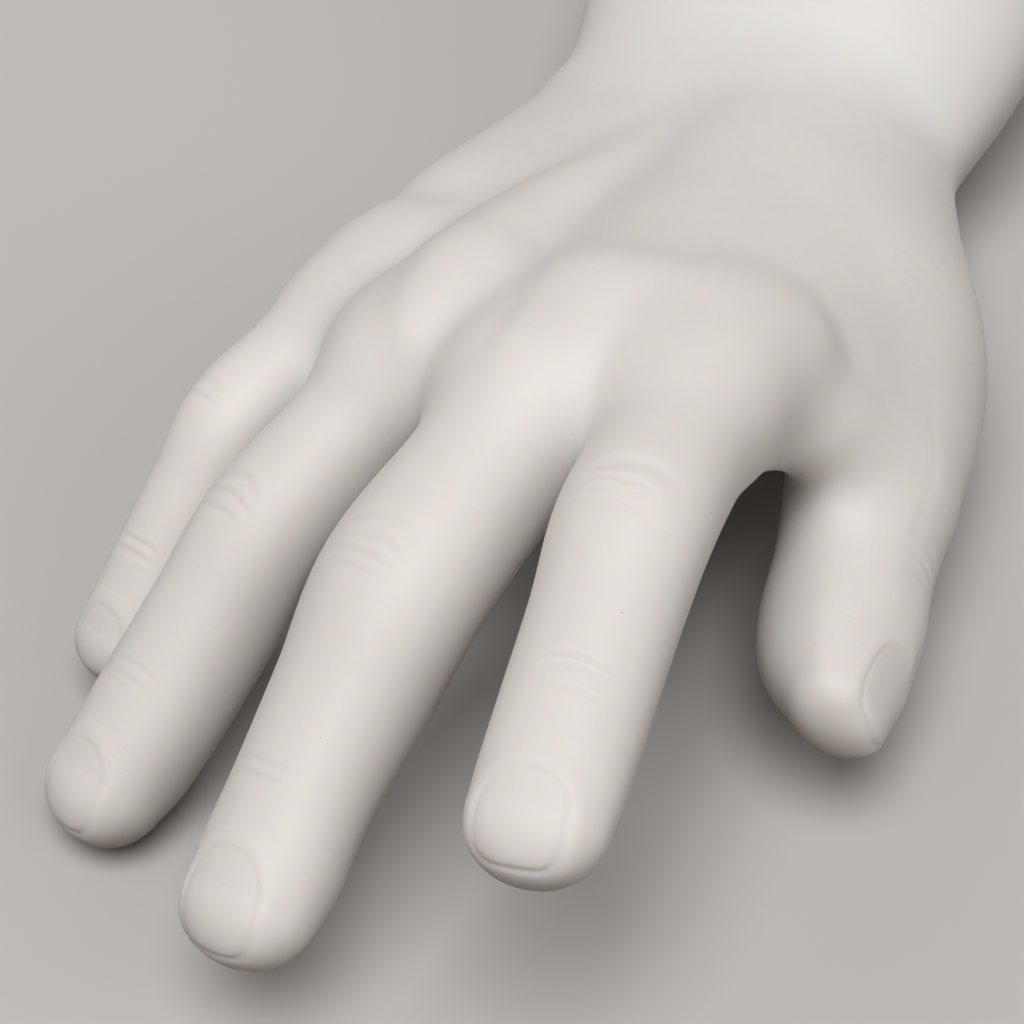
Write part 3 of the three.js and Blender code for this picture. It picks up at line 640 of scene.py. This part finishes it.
def wrinkle_relief(name, points):
    """Depth of the wrinkles over a digit's joints."""
    relief = np.zeros(len(points))
    for bone, across, along, half, bow, depth, width in WRINKLES[name]:
        start, forward, side, top, _ = DIGITS[name][bone]
        offset = points - start
        x = offset @ side - across
        y = offset @ forward - along + bow * x * x
        upper = step(offset @ top - WRINKLE_BOTTOM, WRINKLE_SIDE_FADE)
        fade = step(half - np.abs(x), WRINKLE_END_FADE) * upper
        ridges = RIDGE_SHARE * bell(np.abs(y) - 2 * width, width)
        relief += WRINKLE_SHARE * depth * fade * (ridges - bell(y, width))
    return relief


def groove_relief(points):
    """Depth of the grooves down the back of the hand."""
    relief = np.zeros(len(points))
    flat = points[:, :2]
    for route, depth, width in GROOVES:
        gaps = np.full(len(points), float(FAR))
        fade = np.zeros(len(points))
        for share in np.linspace(0, 1, GROOVE_SAMPLES):
            gap = np.linalg.norm(flat - smooth_curve(route, share), axis=1)
            nearer = gap < gaps
            gaps[nearer] = gap[nearer]
            fade[nearer] = max(math.sin(math.pi * share), 0) ** GROOVE_END_POWER
        upper = step(points[:, 2] - GROOVE_BOTTOM, GROOVE_FADE)
        relief -= depth * fade * bell(gaps, width) * upper
    return relief


def near_details(points):
    """Which points lie at a nail or at a wrinkled joint."""
    near = np.zeros(len(points), bool)
    beyond, beside = WRINKLE_SURROUND
    for name, digit in DIGITS.items():
        nail = NAILS[name]
        start, along, _, top, _ = digit[2]
        middle = start + along * (nail["start"] + nail["end"]) / 2 + top * NAIL_HEIGHT
        near |= np.linalg.norm(points - middle, axis=1) < nail["half"] + NAIL_SURROUND
        for bone, across, place, half, *_ in WRINKLES[name]:
            start, along, side, top, _ = digit[bone]
            offset = points - start
            in_length = np.abs(offset @ side - across) < half + beyond
            in_width = np.abs(offset @ along - place) < beside
            near |= in_length & in_width & (offset @ top > UPPER_SIDE)
    return near


def read_points(mesh):
    """The mesh's points in the hand's frame."""
    points = np.empty(len(mesh.vertices) * 3)
    mesh.vertices.foreach_get("co", points)
    return to_hand(points.reshape(-1, 3))


def read_normals(mesh):
    """The normals at the mesh's points in the hand's frame."""
    normals = np.empty(len(mesh.vertices) * 3)
    mesh.vertices.foreach_get("normal", normals)
    return normals.reshape(-1, 3) @ HAND_TURN


def write_points(mesh, points):
    """Gives the mesh its points, none of them outside the CAD model's box."""
    low, high = (np.array(corner) for corner in cad_box)
    mesh.vertices.foreach_set("co", np.clip(to_scene(points), low, high).ravel())
    mesh.update()


def field_slope(points):
    """The direction in which the field rises fastest at each point."""
    here = hand_field(points)
    ahead = [hand_field(points + SLOPE_STEP * axis) for axis in np.eye(3)]
    return np.stack(ahead, axis=1) - here[:, None]


def mark_skin(shell):
    """Marks the faces of the outer skin, which faces outwards and isn't the cut end."""
    on_skin = np.abs(hand_field(to_hand([v.co for v in shell.verts]))) < SKIN_MARGIN
    middles = to_hand([face.calc_center_median() for face in shell.faces])
    facing = np.array([face.normal for face in shell.faces]) @ HAND_TURN
    outward = (facing * field_slope(middles)).sum(axis=1) > 0
    outside = outward & (middles @ ARM_AXIS < FOREARM_LENGTH - END_MARGIN)
    layer = shell.faces.layers.int.new("skin")
    for face, is_outside in zip(shell.faces, outside):
        face[layer] = int(is_outside and all(on_skin[v.index] for v in face.verts))
    return layer


def divide_skin(source):
    """A copy of the CAD shell with its outer skin cut into small triangles."""
    shell = bmesh.new()
    shell.from_mesh(source.data)
    bmesh.ops.remove_doubles(shell, verts=shell.verts, dist=TINY)
    layer = mark_skin(shell)
    edges = {e for f in shell.faces if f[layer] for e in f.edges}
    bmesh.ops.subdivide_edges(shell, edges=list(edges), cuts=SKIN_CUTS, use_grid_fill=True)
    shell.verts.index_update()
    near = near_details(to_hand([v.co for v in shell.verts]))
    fine = [
        e for e in shell.edges
        if near[e.verts[0].index] and near[e.verts[1].index] and e.link_faces[0][layer]
    ]
    bmesh.ops.subdivide_edges(shell, edges=fine, cuts=DETAIL_CUTS, use_grid_fill=True)
    mesh = bpy.data.meshes.new("moulded_hand")
    shell.to_mesh(mesh)
    shell.free()
    return mesh


def move_skin(mesh, skin, normals, amounts):
    """Moves the skin's points along the normals, and those on the cut end only within it."""
    points = read_points(mesh)
    at_end = points @ ARM_AXIS > FOREARM_LENGTH - END_MARGIN
    normals[at_end] -= np.outer(normals[at_end] @ ARM_AXIS, ARM_AXIS)
    lengths = np.linalg.norm(normals, axis=1)
    normals /= np.maximum(lengths, TINY)[:, None]
    points[skin] += normals[skin] * amounts[:, None]
    write_points(mesh, points)


def settle_skin(mesh, skin, rounds):
    """Moves the skin's points onto the hand's surface, along the field's slope."""
    slopes = read_normals(mesh)
    slopes[skin] = field_slope(read_points(mesh)[skin])
    for _ in range(rounds):
        field = hand_field(read_points(mesh)[skin])
        move_skin(mesh, skin, slopes.copy(), np.clip(-field, -LARGEST_MOVE, LARGEST_MOVE))


def relax_skin(mesh, skin, rounds):
    """Evens out the spacing of the skin's points. Those on the cut end stay."""
    edges = np.empty(len(mesh.edges) * 2, np.int32)
    mesh.edges.foreach_get("vertices", edges)
    starts, ends = edges.reshape(-1, 2).T
    points = read_points(mesh)
    size = len(points)
    counts = np.bincount(starts, minlength=size) + np.bincount(ends, minlength=size)
    free = skin & (points @ ARM_AXIS < FOREARM_LENGTH - END_MARGIN)
    for _ in range(rounds):
        sums = np.stack([
            np.bincount(starts, points[ends, k], size) + np.bincount(ends, points[starts, k], size)
            for k in range(3)
        ], axis=1)
        means = sums / np.maximum(counts, 1)[:, None]
        points[free] += RELAX_SHARE * (means - points)[free]
    write_points(mesh, points)


def model_hand():
    """The moulded hand: the CAD shell with its skin made finer and given its relief."""
    mesh = divide_skin(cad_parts["hand_shell"])
    flags = np.empty(len(mesh.polygons), np.int32)
    mesh.attributes["skin"].data.foreach_get("value", flags)
    mesh.polygons.foreach_set("use_smooth", flags.astype(bool))
    skin = np.zeros(len(mesh.vertices), bool)
    for polygon in mesh.polygons:
        if flags[polygon.index]:
            skin[list(polygon.vertices)] = True
    settle_skin(mesh, skin, rounds=3)
    relax_skin(mesh, skin, rounds=4)
    settle_skin(mesh, skin, rounds=2)
    points = read_points(mesh)[skin]
    relief = groove_relief(points)
    for name in DIGITS:
        relief += nail_relief(name, points) + wrinkle_relief(name, points)
    move_skin(mesh, skin, read_normals(mesh), relief)
    hand = bpy.data.objects.new("moulded_hand", mesh)
    bpy.context.collection.objects.link(hand)
    return hand


def new_material(name):
    """A material with its nodes, links, shader and the coordinates of the piece it is on."""
    material = bpy.data.materials.new(name)
    material.use_nodes = True
    nodes, links = material.node_tree.nodes, material.node_tree.links
    shader = nodes["Principled BSDF"]
    coordinates = nodes.new("ShaderNodeTexCoord").outputs["Object"]
    return material, nodes, links, shader, coordinates


def set_inputs(node, **values):
    """Sets a node's inputs. An underscore in a name stands for a space."""
    for name, value in values.items():
        node.inputs[name.replace("_", " ")].default_value = value


def noise(nodes, links, vector, scale, detail):
    node = nodes.new("ShaderNodeTexNoise")
    set_inputs(node, Scale=scale, Detail=detail)
    links.new(vector, node.inputs["Vector"])
    return node.outputs["Fac"]


def ramp(nodes, links, value, places, colours):
    """Turns a value into a colour, between two places on the way from 0 to 1."""
    node = nodes.new("ShaderNodeValToRGB")
    for element, place, colour in zip(node.color_ramp.elements, places, colours):
        element.position = place
        element.color = (*colour, 1)
    links.new(value, node.inputs["Fac"])
    return node.outputs["Color"]


def add_bump(nodes, links, shader, height, strength, distance_m, before=None):
    """Fine roughness too small for the mesh, added to any bump that comes before it."""
    node = nodes.new("ShaderNodeBump")
    set_inputs(node, Strength=strength, Distance=distance_m)
    links.new(height, node.inputs["Height"])
    if before is not None:
        links.new(before, node.inputs["Normal"])
    links.new(node.outputs["Normal"], shader.inputs["Normal"])
    return node.outputs["Normal"]


def multiply(nodes, links, colour_a, colour_b):
    node = nodes.new("ShaderNodeMix")
    node.data_type = "RGBA"
    node.blend_type = "MULTIPLY"
    node.inputs["Factor"].default_value = 1
    links.new(colour_a, node.inputs["A"])
    links.new(colour_b, node.inputs["B"])
    return node.outputs["Result"]


def vinyl_material():
    """Soft matte vinyl: warm white, a little translucent, faintly mottled, with a few specks."""
    material, nodes, links, shader, at = new_material("matte_vinyl")
    mottle = noise(nodes, links, at, scale=28, detail=4)
    base = ramp(nodes, links, mottle, (0.3, 0.7), VINYL_COLOURS)
    speck_noise = noise(nodes, links, at, scale=650, detail=1)
    specks = ramp(nodes, links, speck_noise, (0.15, 0.18), (VINYL_SPECK, UNCHANGED))
    links.new(multiply(nodes, links, base, specks), shader.inputs["Base Color"])
    set_inputs(shader, Roughness=0.55, Specular_IOR_Level=0.35, Subsurface_Weight=0.8,
               Subsurface_Radius=(1.0, 0.6, 0.4), Subsurface_Scale=0.0045)
    grain = noise(nodes, links, at, scale=900, detail=3)
    ripple = noise(nodes, links, at, scale=60, detail=2)
    fine = add_bump(nodes, links, shader, grain, strength=0.1, distance_m=0.00008)
    add_bump(nodes, links, shader, ripple, strength=0.12, distance_m=0.0008, before=fine)
    return material


def wood_material():
    """Sawn softwood, seen on its end grain: rings, pores and saw marks."""
    material, nodes, links, shader, at = new_material("sawn_wood")
    wave = nodes.new("ShaderNodeTexWave")
    wave.wave_type = "RINGS"
    wave.rings_direction = "Y"
    set_inputs(wave, Scale=60, Distortion=3, Detail=3, Detail_Scale=1.5)
    links.new(at, wave.inputs["Vector"])
    colour = ramp(nodes, links, wave.outputs["Fac"], (0.2, 0.75), WOOD_COLOURS)
    pore_noise = noise(nodes, links, at, scale=1400, detail=2)
    pores = ramp(nodes, links, pore_noise, (0.3, 0.45), (WOOD_PORE, UNCHANGED))
    links.new(multiply(nodes, links, colour, pores), shader.inputs["Base Color"])
    set_inputs(shader, Roughness=0.75)
    saw_marks = noise(nodes, links, at, scale=700, detail=3)
    add_bump(nodes, links, shader, saw_marks, strength=0.3, distance_m=0.0002)
    return material


def metal_material(name):
    """Bare or plated steel with fine marks, some of them drawn out along one axis."""
    colour, roughness, mark_scale, stretch = METALS[name]
    material, nodes, links, shader, at = new_material(name)
    mapping = nodes.new("ShaderNodeMapping")
    set_inputs(mapping, Scale=stretch)
    links.new(at, mapping.inputs["Vector"])
    marks = noise(nodes, links, mapping.outputs["Vector"], mark_scale, detail=4)
    dark = tuple(MARK_SHADE * c for c in colour)
    marked = ramp(nodes, links, marks, (0.3, 0.7), (dark, colour))
    links.new(marked, shader.inputs["Base Color"])
    set_inputs(shader, Metallic=1)
    spread = nodes.new("ShaderNodeMapRange")
    set_inputs(spread, To_Min=roughness - 0.08, To_Max=roughness + 0.1)
    links.new(marks, spread.inputs["Value"])
    links.new(spread.outputs["Result"], shader.inputs["Roughness"])
    add_bump(nodes, links, shader, marks, strength=0.15, distance_m=0.00005)
    return material


def dress_fitting():
    """Gives the CAD pieces at the cut end their materials."""
    materials = {name: metal_material(name) for name in METALS}
    looks = {node: materials[metal] for node, metal in FITTING_LOOKS.items()}
    looks["wrist_block"] = wood_material()
    for node, material in looks.items():
        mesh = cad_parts[node].data
        mesh.materials.clear()
        mesh.materials.append(material)


def seen_directly(nodes, links):
    """1 for rays of the camera and of reflections, 0 for light that bounces."""
    path = nodes.new("ShaderNodeLightPath")
    either = nodes.new("ShaderNodeMath")
    either.operation = "MAXIMUM"
    links.new(path.outputs["Is Camera Ray"], either.inputs[0])
    links.new(path.outputs["Is Glossy Ray"], either.inputs[1])
    return either.outputs["Value"]


def make_floor():
    """A wide pale floor under the hand."""
    mesh = bmesh.new()
    bmesh.ops.create_circle(mesh, cap_ends=True, segments=96, radius=FLOOR_RADIUS)
    data = bpy.data.meshes.new("floor")
    mesh.to_mesh(data)
    mesh.free()
    floor = bpy.data.objects.new("floor", data)
    floor.location.z = -FLOOR_DROP
    bpy.context.collection.objects.link(floor)
    material, nodes, links, shader, _ = new_material("pale_floor")
    mix = nodes.new("ShaderNodeMix")
    mix.data_type = "RGBA"
    set_inputs(mix, A=FLOOR_BOUNCE, B=FLOOR_SEEN)
    links.new(seen_directly(nodes, links), mix.inputs["Factor"])
    links.new(mix.outputs["Result"], shader.inputs["Base Color"])
    set_inputs(shader, Roughness=0.9, Specular_IOR_Level=0.1)
    data.materials.append(material)


def add_sun(name, towards, strength, spread):
    """A soft lamp far away. Its light comes from the given direction."""
    light = bpy.data.lights.new(name, "SUN")
    light.energy = strength
    light.angle = math.radians(spread)
    lamp = bpy.data.objects.new(name, light)
    lamp.rotation_euler = Vector(towards).to_track_quat("Z", "Y").to_euler()
    bpy.context.collection.objects.link(lamp)


def light_scene():
    """Three soft lamps and the even light of the studio round the hand."""
    for name, (towards, strength, spread) in LAMPS.items():
        add_sun(name, HAND_TURN @ towards, strength, spread)
    world = bpy.data.worlds.new("studio")
    world.use_nodes = True
    nodes, links = world.node_tree.nodes, world.node_tree.links
    seen = nodes["Background"]
    set_inputs(seen, Color=STUDIO_SEEN, Strength=1)
    fill = nodes.new("ShaderNodeBackground")
    set_inputs(fill, Color=STUDIO_FILL, Strength=FILL_STRENGTH)
    mix = nodes.new("ShaderNodeMixShader")
    links.new(seen_directly(nodes, links), mix.inputs["Fac"])
    links.new(fill.outputs["Background"], mix.inputs[1])
    links.new(seen.outputs["Background"], mix.inputs[2])
    links.new(mix.outputs["Shader"], nodes["World Output"].inputs["Surface"])
    bpy.context.scene.world = world


def add_camera():
    """The camera at the photograph's place and angle."""
    data = bpy.data.cameras.new("camera")
    data.lens = CAMERA_LENS
    data.sensor_width = SENSOR_WIDTH
    data.clip_start = CAMERA_NEAREST
    camera = bpy.data.objects.new("camera", data)
    aim = unit(HAND_TURN @ CAMERA_AIM)
    right = unit(np.cross(aim, HAND_TURN @ CAMERA_UP))
    up = np.cross(right, aim)
    turn = Matrix([[right[i], up[i], -aim[i]] for i in range(3)]).to_4x4()
    camera.matrix_world = Matrix.Translation(to_scene(CAMERA_PLACE)) @ turn
    bpy.context.collection.objects.link(camera)
    bpy.context.scene.camera = camera


add_camera()
light_scene()
make_floor()
dress_fitting()
hand = model_hand()
hand.data.materials.append(vinyl_material())
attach(hand, "root")
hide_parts("hand_shell")
bpy.context.scene.view_settings.view_transform = "Standard"
